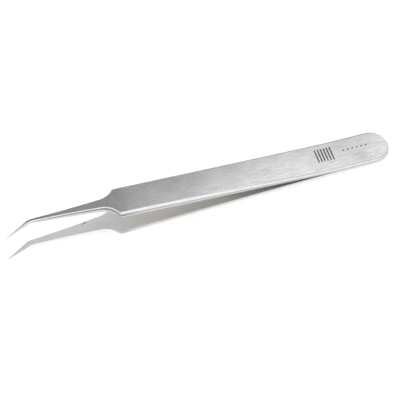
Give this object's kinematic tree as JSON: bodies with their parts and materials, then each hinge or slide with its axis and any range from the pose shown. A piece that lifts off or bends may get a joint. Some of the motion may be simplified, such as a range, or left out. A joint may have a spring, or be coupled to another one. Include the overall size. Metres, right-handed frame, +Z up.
{
  "type": "bent tweezers",
  "caption": "Fine-point tweezers with flat bevelled handles, a welded tail, slender blades and tips bent to one side, for picking up and placing small parts.",
  "frame": {"origin": "centre of the footprint, at the height of the surface that the tweezers lie on", "axes": "+X towards the welded tail, -X towards the tips, -Y to the side that the tips are bent to, +Z up"},
  "size_m": [0.1152, 0.0104, 0.0127],
  "materials": {
    "arm_steel": "satin, brushed lengthwise"
  },
  "bodies": {
    "root": {"upper_arm": "arm_steel", "lower_arm": "arm_steel"}
  },
  "joints": []
}
